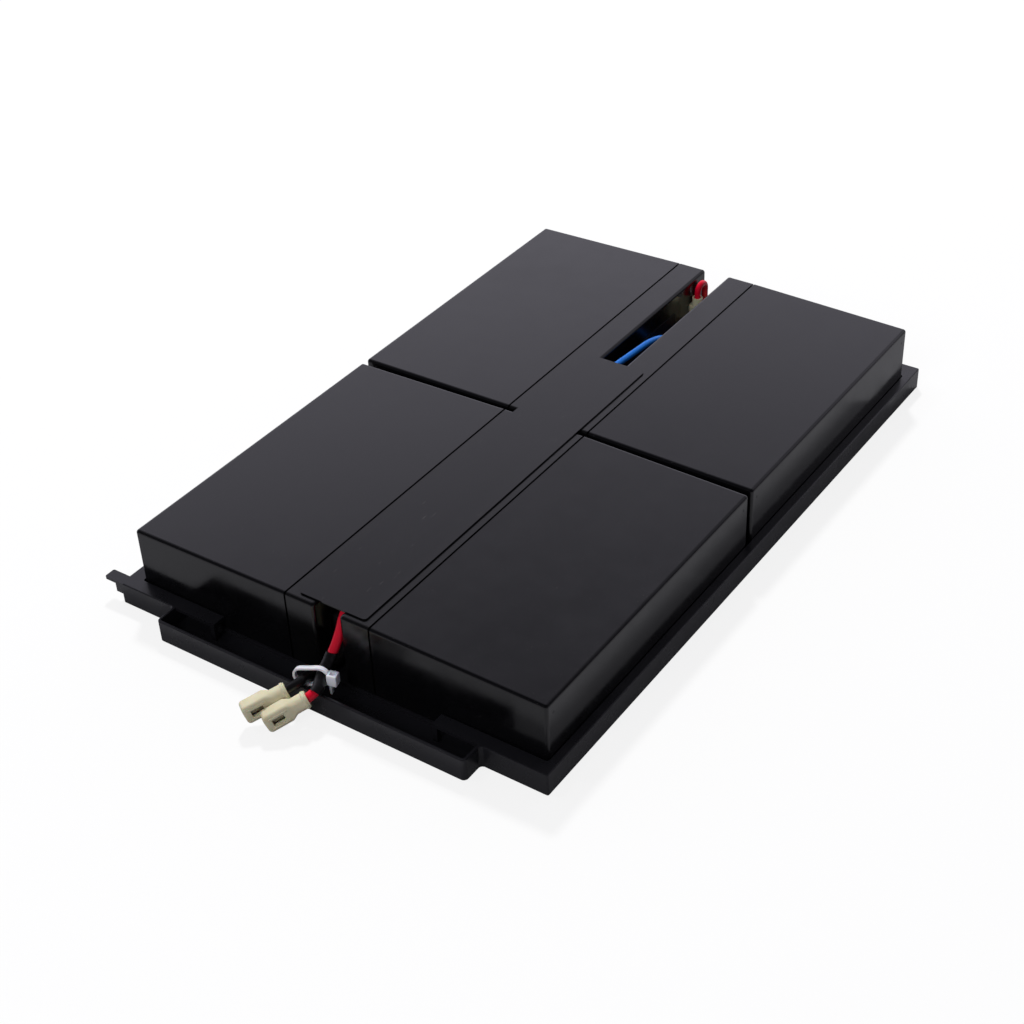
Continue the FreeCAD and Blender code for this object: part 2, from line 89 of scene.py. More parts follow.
class Bands(Enum):
    """How the bands on a soft skin run."""

    SLANTING = "DIAGONAL"
    ROUND = "Y"


class Look(Enum):
    """Which way a face has to look to be picked."""

    BEHIND = (-1.0, 0.0, 0.0)
    ABOVE = (0.0, 0.0, 1.0)


# --------------------------------------------------------------------------
# Small helpers
# --------------------------------------------------------------------------


def linear(hex_colour: str) -> tuple[float, float, float, float]:
    """Turn an sRGB hex colour into the linear colour that shaders take.

    Args:
        hex_colour: six hex digits, with or without a leading hash.

    Returns:
        Red, green, blue and an alpha of one, in linear light.
    """
    digits = hex_colour.lstrip("#")
    channels = [int(digits[i : i + 2], 16) / 255 for i in (0, 2, 4)]
    light = [c / 12.92 if c <= 0.04045 else ((c + 0.055) / 1.055) ** 2.4 for c in channels]
    return (light[0], light[1], light[2], 1.0)


def mm(x: float, y: float, z: float) -> Vector:
    """Give a point in metres from millimetres in the part's frame.

    Args:
        x: across the tray, zero on the channel's centre line.
        y: along the tray, zero between the two rows.
        z: up from the tray's underside.

    Returns:
        The point in metres.
    """
    return Vector((x, y, z)) * MM


def add_node(
    tree: bpy.types.NodeTree,
    kind: str,
    values: Optional[dict] = None,
    wires: Optional[dict] = None,
    **settings: object,
) -> bpy.types.Node:
    """Add one shader node, set it and wire its inputs.

    Args:
        tree: the node tree that takes the node.
        kind: the node's type name.
        values: constants by input name or index.
        wires: output sockets by input name or index.
        settings: attributes of the node itself.

    Returns:
        The new node.
    """
    node = tree.nodes.new(kind)
    for name, value in settings.items():
        setattr(node, name, value)
    for name, value in (values or {}).items():
        node.inputs[name].default_value = value
    for name, socket in (wires or {}).items():
        tree.links.new(socket, node.inputs[name])
    return node


# --------------------------------------------------------------------------
# Finishes
# --------------------------------------------------------------------------


@dataclass(frozen=True)
class Finish:
    """A material and the way its surface varies.

    Colour drifts between two shades in blotches, gloss drifts with them, and
    a fine grain lifts the surface. Lengths are in millimetres.
    """

    name: str
    slot: str
    colour: str
    other: str
    roughness: float
    spread: float
    blotch: float
    grain: float
    depth: float
    run: Grain = Grain.EVEN
    ior: float = 1.5
    dust: float = 0.0

    def make(self) -> bpy.types.Material:
        """Build the material.

        Returns:
            The finished material.
        """
        material = bpy.data.materials.new(self.name)
        material.use_nodes = True
        tree = material.node_tree
        tree.nodes.clear()
        place = add_node(tree, "ShaderNodeTexCoord").outputs["Object"]
        shader = add_node(
            tree,
            "ShaderNodeBsdfPrincipled",
            {"Base Color": linear(self.colour), "Roughness": self.roughness, "IOR": self.ior},
        )
        self.constants(shader)
        blotches = self.noise(tree, place, self.blotch, 3.0)
        self.tint(tree, shader, place, blotches)
        self.gloss(tree, shader, place, blotches)
        height = self.relief(tree, place)
        bump = add_node(
            tree,
            "ShaderNodeBump",
            {"Strength": 1.0, "Distance": self.depth * MM},
            {"Height": height},
        )
        tree.links.new(bump.outputs["Normal"], shader.inputs["Normal"])
        add_node(tree, "ShaderNodeOutputMaterial", None, {"Surface": shader.outputs["BSDF"]})
        return material

    def noise(
        self, tree: bpy.types.NodeTree, place: bpy.types.NodeSocket, size: float, detail: float
    ) -> bpy.types.NodeSocket:
        """Give noise of a real size.

        Args:
            tree: the material's tree.
            place: object coordinates.
            size: the size of a mark, in millimetres.
            detail: how many finer layers the noise has.

        Returns:
            The noise, about a half.
        """
        scaled = add_node(
            tree,
            "ShaderNodeMapping",
            {"Scale": Vector(self.run.value) / (size * MM)},
            {"Vector": place},
        )
        node = add_node(
            tree, "ShaderNodeTexNoise", {"Scale": 1.0, "Detail": detail}, {"Vector": scaled.outputs[0]}
        )
        return node.outputs["Fac"]

    def constants(self, shader: bpy.types.Node) -> None:
        """Set what is the same all over the surface; a plain finish adds nothing."""

    def tint(
        self,
        tree: bpy.types.NodeTree,
        shader: bpy.types.Node,
        place: bpy.types.NodeSocket,
        blotches: bpy.types.NodeSocket,
    ) -> None:
        """Drift the colour between its two shades, with specks of dust where there are any.

        Args:
            tree: the material's tree.
            shader: the principled shader.
            place: object coordinates.
            blotches: the slow noise.
        """
        mix = add_node(
            tree,
            "ShaderNodeMix",
            {6: linear(self.colour), 7: linear(self.other)},
            {0: blotches},
            data_type="RGBA",
        )
        shade = mix.outputs[2]
        if self.dust:
            specks = self.noise(tree, place, 0.5, 1.0)
            chosen = add_node(
                tree,
                "ShaderNodeMapRange",
                {"From Min": 0.71, "From Max": 0.8, "To Max": self.dust},
                {"Value": specks},
            )
            dusted = add_node(
                tree,
                "ShaderNodeMix",
                {7: linear("8c8a86")},
                {0: chosen.outputs[0], 6: shade},
                data_type="RGBA",
            )
            shade = dusted.outputs[2]
        tree.links.new(shade, shader.inputs["Base Color"])

    def gloss(
        self,
        tree: bpy.types.NodeTree,
        shader: bpy.types.Node,
        place: bpy.types.NodeSocket,
        blotches: bpy.types.NodeSocket,
    ) -> None:
        """Drift the roughness about its mean.

        Args:
            tree: the material's tree.
            shader: the principled shader.
            place: object coordinates.
            blotches: the slow noise.
        """
        smear = self.noise(tree, place, self.blotch / 4, 5.0)
        both = add_node(tree, "ShaderNodeMath", None, {0: blotches, 1: smear}, operation="ADD")
        ranged = add_node(
            tree,
            "ShaderNodeMapRange",
            {
                "From Min": 0.7,
                "From Max": 1.3,
                "To Min": self.roughness - self.spread,
                "To Max": self.roughness + self.spread,
            },
            {"Value": both.outputs[0]},
        )
        tree.links.new(ranged.outputs[0], shader.inputs["Roughness"])

    def relief(
        self, tree: bpy.types.NodeTree, place: bpy.types.NodeSocket
    ) -> bpy.types.NodeSocket:
        """Give the height of the grain.

        Args:
            tree: the material's tree.
            place: object coordinates.

        Returns:
            The height, from nought to one.
        """
        return self.noise(tree, place, self.grain, 2.0)


@dataclass(frozen=True)
class Moulding(Finish):
    """A moulded wall: fine grain over the slow dips that a cooling wall takes."""

    sink: float = 24.0

    def relief(
        self, tree: bpy.types.NodeTree, place: bpy.types.NodeSocket
    ) -> bpy.types.NodeSocket:
        """Add slow dips to the grain.

        Args:
            tree: the material's tree.
            place: object coordinates.

        Returns:
            The height.
        """
        fine = self.noise(tree, place, self.grain, 2.0)
        slow = self.noise(tree, place, self.sink, 0.0)
        both = add_node(
            tree, "ShaderNodeMath", {1: 3.0}, {0: slow, 2: fine}, operation="MULTIPLY_ADD"
        )
        return both.outputs[0]


@dataclass(frozen=True)
class Nylon(Finish):
    """Nylon: light goes a little way in, so thin walls glow."""

    glow: float = 0.2

    def constants(self, shader: bpy.types.Node) -> None:
        """Let light into the surface.

        Args:
            shader: the principled shader.
        """
        shader.inputs["Subsurface Weight"].default_value = self.glow
        shader.inputs["Subsurface Scale"].default_value = 0.8 * MM


@dataclass(frozen=True)
class Skin(Finish):
    """A soft skin round wire: the print of the strands, or wrinkles, over the grain."""

    pitch: float = 0.8
    warp: float = 1.5
    layers: float = 1.0
    rise: float = 0.35
    bands: Bands = Bands.SLANTING

    def relief(
        self, tree: bpy.types.NodeTree, place: bpy.types.NodeSocket
    ) -> bpy.types.NodeSocket:
        """Lay the bands over the grain.

        Args:
            tree: the material's tree.
            place: object coordinates.

        Returns:
            The height.
        """
        fine = self.noise(tree, place, self.grain, 3.0)
        wave = add_node(
            tree,
            "ShaderNodeTexWave",
            {"Scale": 0.25 / (self.pitch * MM), "Distortion": self.warp, "Detail": self.layers},
            {"Vector": place},
            bands_direction=self.bands.value,
        )
        both = add_node(
            tree,
            "ShaderNodeMath",
            {1: self.rise},
            {0: wave.outputs["Fac"], 2: fine},
            operation="MULTIPLY_ADD",
        )
        return both.outputs[0]


@dataclass(frozen=True)
class Tinned(Finish):
    """Tinned metal: a metal whose shade and gloss drift in blotches."""

    def constants(self, shader: bpy.types.Node) -> None:
        """Make the surface metal.

        Args:
            shader: the principled shader.
        """
        shader.inputs["Metallic"].default_value = 1.0


@dataclass(frozen=True)
class Palette:
    """Every finish of the cartridge."""

    # Injection-moulded ABS of the battery cases: near black, with clear soft reflections.
    case: Finish = Moulding(
        "battery_abs", "battery_plastic", "08080a", "0b0b0d", 0.17, 0.05, 40, 0.35, 0.0022,
        dust=0.1,
    )
    # The same ABS on the lids, a touch duller from the welding.
    lid: Finish = Moulding(
        "lid_abs", "battery_plastic", "09090a", "0d0d0e", 0.2, 0.05, 26, 0.35, 0.0024,
        dust=0.1,
    )
    # High-impact polystyrene of the tray: charcoal, satin, with a fine moulded grain.
    tray: Finish = Moulding(
        "tray_polystyrene", "tray_plastic", "17171a", "1f1f23", 0.3, 0.07, 30, 0.5, 0.006,
        dust=0.12,
    )
    # Flat PVC sheet over the channel: drawn lines along its length soften the reflection.
    cover: Finish = Finish(
        "cover_pvc_sheet", "cover_sheet", "08080a", "0b0b0d", 0.2, 0.05, 34, 0.6, 0.0016,
        Grain.ALONG_Y, dust=0.1,
    )
    # Welded vent strip: the same black as the lid, rougher from its gate.
    strip: Finish = Moulding(
        "vent_strip_abs", "lid_strip_plastic", "0e0e10", "151517", 0.4, 0.08, 12, 0.4, 0.008,
    )
    # Tin over brass: warm silver, its shade and gloss drifting in blotches.
    metal: Finish = Tinned(
        "tinned_brass", "tinned_brass", "b5afa2", "918b7d", 0.32, 0.1, 3, 0.12, 0.004,
    )
    # Poured resin round a positive terminal.
    red_resin: Finish = Finish("red_epoxy", "red_resin", "7a1414", "5e0e0e", 0.22, 0.08, 4, 0.8, 0.01)
    # Poured resin round a negative terminal.
    black_resin: Finish = Finish(
        "black_epoxy", "black_resin", "0e0e0e", "171717", 0.24, 0.08, 4, 0.8, 0.01,
    )
    # Undyed nylon of the connectors and sleeves: ivory, yellower where it is thick.
    ivory: Finish = Nylon(
        "natural_nylon", "natural_nylon", "e2dcc0", "d6cea9", 0.4, 0.08, 5, 0.3, 0.006,
    )
    # Black nylon of the sleeves on the negative terminals.
    black_sleeve: Finish = Nylon(
        "black_nylon", "black_nylon", "101011", "19191a", 0.42, 0.08, 5, 0.3, 0.006, glow=0.0,
    )
    # Bright nylon of the cable tie, faintly blue.
    tie: Finish = Nylon("tie_nylon", "white_nylon", "f0f0f6", "e4e4ee", 0.36, 0.08, 4, 0.3, 0.004)
    # Coloured PVC jackets.
    red: Finish = Skin("red_pvc", "red_insulation", "e6052f", "cc0427", 0.4, 0.08, 6, 0.3, 0.012)
    blue: Finish = Skin("blue_pvc", "blue_insulation", "0a72d2", "0862b8", 0.44, 0.08, 6, 0.3, 0.012)
    black: Finish = Skin("black_pvc", "black_insulation", "0c0c0d", "151516", 0.34, 0.08, 6, 0.3, 0.012)
    # Shrunk polyolefin: black, satin, faintly wrinkled.
    shrink: Finish = Skin(
        "shrunk_polyolefin", "shrink_plastic", "0d0d0e", "171718", 0.4, 0.08, 5, 0.25, 0.03,
        pitch=1.3, warp=4.0, layers=2.0, rise=1.6, bands=Bands.ROUND,
    )


class Painter:
    """Keeps one material for each finish and puts it on pieces."""

    def __init__(self) -> None:
        """Start with no material made."""
        self.made: dict[str, bpy.types.Material] = {}

    def paint(self, piece: bpy.types.Object, finish: Finish) -> None:
        """Give a piece its finish.

        Args:
            piece: the object to paint.
            finish: the finish it takes.
        """
        if finish.name not in self.made:
            self.made[finish.name] = finish.make()
        piece.data.materials.clear()
        piece.data.materials.append(self.made[finish.name])

    def node(self, name: str, finish: Finish) -> None:
        """Give a CAD node its finish.

        Args:
            name: the node's name.
            finish: the finish it takes.
        """
        self.paint(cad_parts[name], finish)
        log.info("dressed %s in %s", name, finish.name)

    def piece(self, piece: bpy.types.Object, finish: Finish, *nodes: str) -> None:
        """Finish a new piece, fix it to the object and let it stand for its nodes.

        Args:
            piece: the new object.
            finish: the finish it takes.
            nodes: the CAD nodes that it stands for.
        """
        self.paint(piece, finish)
        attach(piece, ROOT)
        if nodes:
            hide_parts(*nodes)
        log.info("built %s in %s", piece.name, finish.name)


# --------------------------------------------------------------------------
# The bench: edit-mode steps that the pieces share
# --------------------------------------------------------------------------


class Bench:
    """Starts, cuts and places mesh objects."""

    @staticmethod
    def clear() -> None:
        """Leave edit mode and select nothing."""
        if bpy.context.object and bpy.context.object.mode != "OBJECT":
            bpy.ops.object.mode_set(mode="OBJECT")
        bpy.ops.object.select_all(action="DESELECT")

    @classmethod
    def box(cls, name: str, low: Vector, high: Vector, bevel: float = 0.0) -> bpy.types.Object:
        """Make a box, with its edges rounded where a bevel is given.

        Args:
            name: the object's name.
            low: its lowest corner, in metres.
            high: its highest corner, in metres.
            bevel: the edges' round, in metres.

        Returns:
            The new object.
        """
        cls.clear()
        bpy.ops.mesh.primitive_cube_add(size=1.0)
        made = bpy.context.object
        made.name = name
        bpy.ops.object.mode_set(mode="EDIT")
        bpy.ops.mesh.select_all(action="SELECT")
        bpy.ops.transform.resize(value=high - low, center_override=(0, 0, 0))
        bpy.ops.transform.translate(value=(low + high) / 2)
        if bevel:
            bpy.ops.mesh.bevel(offset=bevel, segments=3, affect="EDGES")
        bpy.ops.object.mode_set(mode="OBJECT")
        return made

    @classmethod
    def rod(
        cls, name: str, radius: float, start: float, end: float, sides: int = 28, bevel: float = 0.0
    ) -> bpy.types.Object:
        """Make a round rod along X.

        Args:
            name: the object's name.
            radius: its radius, in metres.
            start: the x of its near end.
            end: the x of its far end.
            sides: how many flats go round it.
            bevel: the round on its end edges.

        Returns:
            The new object.
        """
        cls.clear()
        bpy.ops.mesh.primitive_cylinder_add(vertices=sides, radius=radius, depth=end - start)
        made = bpy.context.object
        made.name = name
        bpy.ops.object.mode_set(mode="EDIT")
        bpy.ops.mesh.select_all(action="SELECT")
        bpy.ops.transform.rotate(value=math.pi / 2, orient_axis="Y", center_override=(0, 0, 0))
        bpy.ops.transform.translate(value=((start + end) / 2, 0, 0))
        bpy.ops.object.mode_set(mode="OBJECT")
        if bevel:
            cls.pick_edges(made, lambda a, b: abs(a.x - b.x) < bevel)
            bpy.ops.mesh.bevel(offset=bevel, segments=2, affect="EDGES")
            bpy.ops.object.mode_set(mode="OBJECT")
        return made

    @classmethod
    def join(cls, body: bpy.types.Object, *others: bpy.types.Object) -> None:
        """Take other objects' meshes into a body, as shells of their own.

        Args:
            body: the object that is kept.
            others: the objects that are used up.
        """
        cls.clear()
        for other in others:
            other.select_set(True)
        body.select_set(True)
        bpy.context.view_layer.objects.active = body
        bpy.ops.object.join()

    @classmethod
    def cut(cls, body: bpy.types.Object, tool: bpy.types.Object) -> None:
        """Cut a tool's shape out of a body and drop the tool.

        Args:
            body: the object that is cut.
            tool: the closed shape that is taken away.
        """
        cls.clear()
        body.select_set(True)
        bpy.context.view_layer.objects.active = body
        cutter = body.modifiers.new("cut", "BOOLEAN")
        cutter.operation = "DIFFERENCE"
        cutter.solver = "EXACT"
        cutter.object = tool
        bpy.ops.object.modifier_apply(modifier=cutter.name)
        bpy.data.objects.remove(tool)

    @classmethod
    def edit(cls, body: bpy.types.Object, kind: str) -> None:
        """Enter edit mode with nothing selected.

        Args:
            body: the object to edit.
            kind: what is picked: VERT, EDGE or FACE.
        """
        cls.clear()
        bpy.context.view_layer.objects.active = body
        body.select_set(True)
        bpy.ops.object.mode_set(mode="EDIT")
        bpy.ops.mesh.select_mode(type=kind)
        bpy.ops.mesh.select_all(action="DESELECT")

    @classmethod
    def pick_faces(cls, body: bpy.types.Object, look: Look, low: float, high: float) -> None:
        """Enter edit mode with the faces that look one way, between two places along X.

        Args:
            body: the object to edit.
            look: the way that they look.
            low: the lowest x of their centres.
            high: the highest x of their centres.
        """
        cls.edit(body, "FACE")
        bpy.ops.object.mode_set(mode="OBJECT")
        way = Vector(look.value)
        for face in body.data.polygons:
            face.select = face.normal.dot(way) > 0.99 and low <= face.center.x <= high
        bpy.ops.object.mode_set(mode="EDIT")

    @classmethod
    def pick_edges(cls, body: bpy.types.Object, test: Callable[[Vector, Vector], bool]) -> None:
        """Enter edit mode with chosen edges selected.

        Args:
            body: the object to edit.
            test: given an edge's two ends, whether it is chosen.
        """
        cls.edit(body, "EDGE")
        bpy.ops.object.mode_set(mode="OBJECT")
        for edge in body.data.edges:
            edge.select = test(*(body.data.vertices[i].co for i in edge.vertices))
        bpy.ops.object.mode_set(mode="EDIT")

    @classmethod
    def place(cls, body: bpy.types.Object, matrix: Matrix) -> None:
        """Move the mesh to its place and smooth its rounds.

        Args:
            body: the object to place.
            matrix: where it goes.
        """
        cls.clear()
        bpy.context.view_layer.objects.active = body
        body.select_set(True)
        body.matrix_world = matrix
        bpy.ops.object.transform_apply(location=True, rotation=True, scale=True)
        bpy.ops.object.shade_smooth_by_angle(angle=math.radians(32))
        cls.clear()


# --------------------------------------------------------------------------
# Sub-assemblies
# --------------------------------------------------------------------------


@dataclass
class Tray:
    """The moulded tray."""

    painter: Painter
    palette: Palette

    def dress(self) -> None:
        """Give the tray its satin moulding."""
        self.painter.node("tray", self.palette.tray)


@dataclass
class Battery:
    """One sealed battery: case, lid, vent strip and its two terminals."""

    painter: Painter
    palette: Palette
    row: Row
    side: Side
    mark_radius: float = 0.55
    mark_height: float = 0.12
    mark_from_end: float = 4.2
    mark_below_top: float = 5.4
    end_face: float = 100.3
    end_height: float = 35.7
    near_end: float = 1.5
    far_end: float = 151.5

    @property
    def tag(self) -> str:
        """Row and side, as the nodes' names have them."""
        return f"{self.row.value}_{self.side.value}"

    def build(self) -> None:
        """Raise the two small ejector marks on the outer end face."""
        turn = Matrix.Rotation(math.pi, 4, "Z") if self.side is Side.LEFT else Matrix.Identity(4)
        ahead = 1.0 if self.row is Row.BACK else -1.0
        across = -1.0 if self.side is Side.LEFT else 1.0
        marks = []
        for along in (self.near_end + self.mark_from_end, self.far_end - self.mark_from_end):
            mark = Bench.rod(
                "mark", self.mark_radius * MM, 0.0, self.mark_height * MM, 16, self.mark_height * MM / 3
            )
            spot = mm(across * self.end_face, ahead * along, self.end_height - self.mark_below_top)
            spot.x -= across * self.mark_height * MM * 0.5
            Bench.place(mark, Matrix.Translation(spot) @ turn)
            marks.append(mark)
        Bench.join(*marks)
        marks[0].name = f"ejector_marks_{self.tag}"
        self.painter.piece(marks[0], self.palette.case)

    def dress(self) -> None:
        """Finish the case, the lid, the strip and both terminals."""
        self.painter.node(f"case_{self.tag}", self.palette.case)
        self.painter.node(f"lid_{self.tag}", self.palette.lid)
        self.painter.node(f"vent_strip_{self.tag}", self.palette.strip)
        for pole in Pole:
            positive = pole is Pole.POSITIVE
            resin = self.palette.red_resin if positive else self.palette.black_resin
            sleeve = self.palette.ivory if positive else self.palette.black_sleeve
            end = f"{self.tag}_{pole.value}"
            self.painter.node(f"seal_{end}", resin)
            self.painter.node(f"terminal_{end}", self.palette.metal)
            self.painter.node(f"grip_{end}", self.palette.metal)
            self.painter.node(f"sleeve_{end}", sleeve)


@dataclass
class Cover:
    """The sheet over the wiring channel."""

    painter: Painter
    palette: Palette

    def dress(self) -> None:
        """Give the sheet its drawn PVC."""
        self.painter.node("centre_cover", self.palette.cover)


@dataclass
class Lead:
    """A free lead, from its sleeve on a front terminal to its connector."""

    name: str
    points: tuple[Vector, ...]
    length: float
    finish: Finish
    painter: Painter
    diameter: float = 4.0
    goes_with: tuple[str, ...] = ()

    def build(self) -> bpy.types.Object:
        """Lay the lead as a curve through its route.

        Returns:
            The curve object.
        """
        curve = bpy.data.curves.new(f"{self.name}_wire", "CURVE")
        curve.dimensions = "3D"
        curve.resolution_u = 24
        curve.bevel_depth = self.diameter / 2 * MM
        curve.bevel_resolution = 8
        curve.use_fill_caps = True
        spline = curve.splines.new("NURBS")
        spline.points.add(len(self.points) - 1)
        for spot, point in zip(self.points, spline.points):
            point.co = (*spot, 1.0)
        spline.order_u = 3
        spline.use_endpoint_u = True
        wire = bpy.data.objects.new(f"{self.name}_wire", curve)
        bpy.context.scene.collection.objects.link(wire)
        self.painter.piece(wire, self.finish, f"{self.name}_lead")
        return wire

    def declare(self, wire: bpy.types.Object) -> None:
        """Take no step: the lead stays a plain curve.

        Args:
            wire: the lead's curve; not used.
        """


@dataclass
class Plug:
    """A connector on a lead: nylon housing and the rolled contact in its mouth."""

    name: str
    rear: Vector
    aim: Vector
    painter: Painter
    palette: Palette
    length: float = 18.5
    width: float = 9.0
    thickness: float = 5.8
    corner: float = 1.4
    barrel: float = 3.4
    barrel_end: float = 6.0
    body_start: float = 8.5
    nose: float = 1.5
    nose_steps: int = 4
    mouth_depth: float = 8.4
    slot_width: float = 6.3
    slot_height: float = 3.2
    slot_round: float = 0.45
    window_length: float = 5.2
    window_width: float = 3.4
    window_setback: float = 0.4
    window_round: float = 0.3
    rail_width: float = 0.7
    rail_inset: float = 1.95
    rail_rise: float = 0.28
    rail_round: float = 0.12
    collar_start: float = 0.5
    collar_end: float = 1.7
    collar_rise: float = 0.3
    collar_round: float = 0.25
    overlap: float = 0.3
    bore: float = 2.1
    curl: float = 1.15
    sheet: float = 0.4
    rolled: float = 290.0
    contact_setback: float = 1.2
    crimp_radius: float = 1.75
    crimp_start: float = 3.5

    @property
    def matrix(self) -> Matrix:
        """The turn and shift from the connector's own axes to its place."""
        up = Vector((0, 0, 1))
        aim = self.aim.normalized()
        width = (up - aim * up.dot(aim)).normalized()
        thickness = aim.cross(width)
        turn = Matrix((aim, width, thickness)).transposed().to_4x4()
        return Matrix.Translation(self.rear) @ turn

    def housing(self) -> bpy.types.Object:
        """Model the housing: a barrel, a flared shoulder and a flat open body.

        Returns:
            The housing.
        """
        half = Vector((0, self.width / 2, self.thickness / 2)) * MM
        Bench.clear()
        bpy.ops.mesh.primitive_plane_add(size=1.0, rotation=(0, math.pi / 2, 0))
        body = bpy.context.object
        body.name = f"{self.name}_housing"
        bpy.ops.object.transform_apply(location=False, rotation=True, scale=False)
        bpy.ops.object.mode_set(mode="EDIT")
        bpy.ops.mesh.select_all(action="SELECT")
        bpy.ops.transform.resize(value=(1, 2 * half.y, 2 * half.z), center_override=(0, 0, 0))
        bpy.ops.transform.translate(value=(self.body_start * MM, 0, 0))
        bpy.ops.mesh.bevel(offset=self.corner * MM, segments=6, affect="VERTICES")
        bpy.ops.mesh.extrude_region_move(
            TRANSFORM_OT_translate={"value": ((self.length - self.body_start - self.nose) * MM, 0, 0)}
        )
        # The nose: short steps that draw the sides in on a quarter round, and the faces a third as far.
        half_width, half_thick, done = self.width / 2, self.thickness / 2, 0.0
        for step in range(1, self.nose_steps + 1):
            angle = step * math.pi / 2 / self.nose_steps
            drop = self.nose * (1 - math.cos(angle))
            reach = self.nose * math.sin(angle)
            bpy.ops.mesh.extrude_region_move(
                TRANSFORM_OT_translate={"value": ((reach - done) * MM, 0, 0)}
            )
            wide = (self.width / 2 - drop) / half_width
            thick = (self.thickness / 2 - drop / 3) / half_thick
            bpy.ops.transform.resize(value=(1, wide, thick), center_override=(0, 0, 0))
            half_width, half_thick, done = half_width * wide, half_thick * thick, reach
        bpy.ops.object.mode_set(mode="OBJECT")
        # The shoulder: the body's rear edge bridged to the round barrel.
        start, ring = self.body_start * MM, self.barrel_end * MM
        Bench.pick_faces(body, Look.BEHIND, start - 1e-6, start + 1e-6)
        bpy.ops.mesh.delete(type="FACE")
        bpy.ops.mesh.primitive_circle_add(
            vertices=28, radius=self.barrel * MM, location=(ring, 0, 0), rotation=(0, math.pi / 2, 0)
        )
        Bench.pick_edges(
            body,
            lambda a, b: max(abs(a.x - start), abs(b.x - start)) < 1e-6
            or max(abs(a.x - ring), abs(b.x - ring)) < 1e-6,
        )
        bpy.ops.mesh.bridge_edge_loops()
        Bench.pick_edges(body, lambda a, b: max(abs(a.x - ring), abs(b.x - ring)) < 1e-6)
        bpy.ops.mesh.extrude_edges_move(TRANSFORM_OT_translate={"value": (-ring, 0, 0)})
        bpy.ops.mesh.edge_face_add()
        bpy.ops.mesh.inset(thickness=(self.barrel - self.bore) * MM)
        bpy.ops.mesh.extrude_region_move(TRANSFORM_OT_translate={"value": (ring / 2, 0, 0)})
        bpy.ops.mesh.select_all(action="SELECT")
        bpy.ops.mesh.normals_make_consistent(inside=False)
        bpy.ops.object.mode_set(mode="OBJECT")
        # The mouth, then the latch window that opens into it.
        high, wide = self.slot_height / 2, self.slot_width / 2
        deep = self.length - self.mouth_depth
        Bench.cut(
            body,
            Bench.box("mouth", mm(deep, -wide, -high), mm(self.length + 2, wide, high), self.slot_round * MM),
        )
        middle = deep + self.window_setback + self.window_length / 2
        across = self.window_width / 2
        Bench.cut(
            body,
            Bench.box(
                "window",
                mm(middle - self.window_length / 2, -across, -self.thickness),
                mm(middle + self.window_length / 2, across, self.overlap - high),
                self.window_round * MM,
            ),
        )
        Bench.join(body, *self.rails())
        return body

    def rails(self) -> list[bpy.types.Object]:
        """Model the low rails beside the window and the collar on the barrel.

        Returns:
            The rails and the collar.
        """
        made, face = [], -self.thickness / 2
        for across in (-1, 1):
            y = across * (self.width / 2 - self.rail_inset)
            low = mm(self.body_start + 0.5, y - self.rail_width / 2, face - self.rail_rise)
            high = mm(self.length - self.nose - 0.4, y + self.rail_width / 2, face + self.overlap)
            made.append(Bench.box("rail", low, high, self.rail_round * MM))
        made.append(
            Bench.rod(
                "collar",
                (self.barrel + self.collar_rise) * MM,
                self.collar_start * MM,
                self.collar_end * MM,
                bevel=self.collar_round * MM,
            )
        )
        return made

    def contact(self) -> bpy.types.Object:
        """Model the contact: a web with both edges rolled over.

        Returns:
            The contact.
        """
        reach = self.slot_width / 2 - self.curl - self.sheet
        Bench.clear()
        bpy.ops.mesh.primitive_plane_add(size=1.0)
        body = bpy.context.object
        body.name = f"{self.name}_rolled_contact"
        start, end = self.body_start + self.contact_setback, self.length - self.contact_setback
        bpy.ops.object.mode_set(mode="EDIT")
        bpy.ops.mesh.select_all(action="SELECT")
        bpy.ops.transform.resize(
            value=((end - start) * MM, 2 * reach * MM, 1), center_override=(0, 0, 0)
        )
        bpy.ops.transform.translate(value=((start + end) / 2 * MM, 0, -self.curl * MM))
        for across in (-1, 1):
            edge = Vector((0, across * reach * MM, -self.curl * MM))
            Bench.pick_edges(
                body,
                lambda a, b: all(abs(v.y - edge.y) < 1e-6 and abs(v.z - edge.z) < 1e-6 for v in (a, b)),
            )
            bpy.ops.mesh.spin(
                steps=12,
                angle=across * math.radians(self.rolled),
                center=(0, edge.y, 0),
                axis=(1, 0, 0),
            )
        bpy.ops.mesh.select_all(action="SELECT")
        bpy.ops.mesh.remove_doubles(threshold=1e-6)
        bpy.ops.object.mode_set(mode="OBJECT")
        thick = body.modifiers.new("sheet", "SOLIDIFY")
        thick.thickness = self.sheet * MM
        thick.offset = 0.0
        bpy.ops.object.modifier_apply(modifier=thick.name)
        reach_in = (start + self.sheet) * MM
        crimp = Bench.rod("crimp", self.crimp_radius * MM, self.crimp_start * MM, reach_in)
        Bench.join(body, crimp)
        return body

    def build(self) -> None:
        """Model both pieces and put them in place."""
        for piece, finish, node in (
            (self.housing(), self.palette.ivory, f"{self.name}_connector"),
            (self.contact(), self.palette.metal, f"{self.name}_contact"),
        ):
            Bench.place(piece, self.matrix)
            self.painter.piece(piece, finish, node)


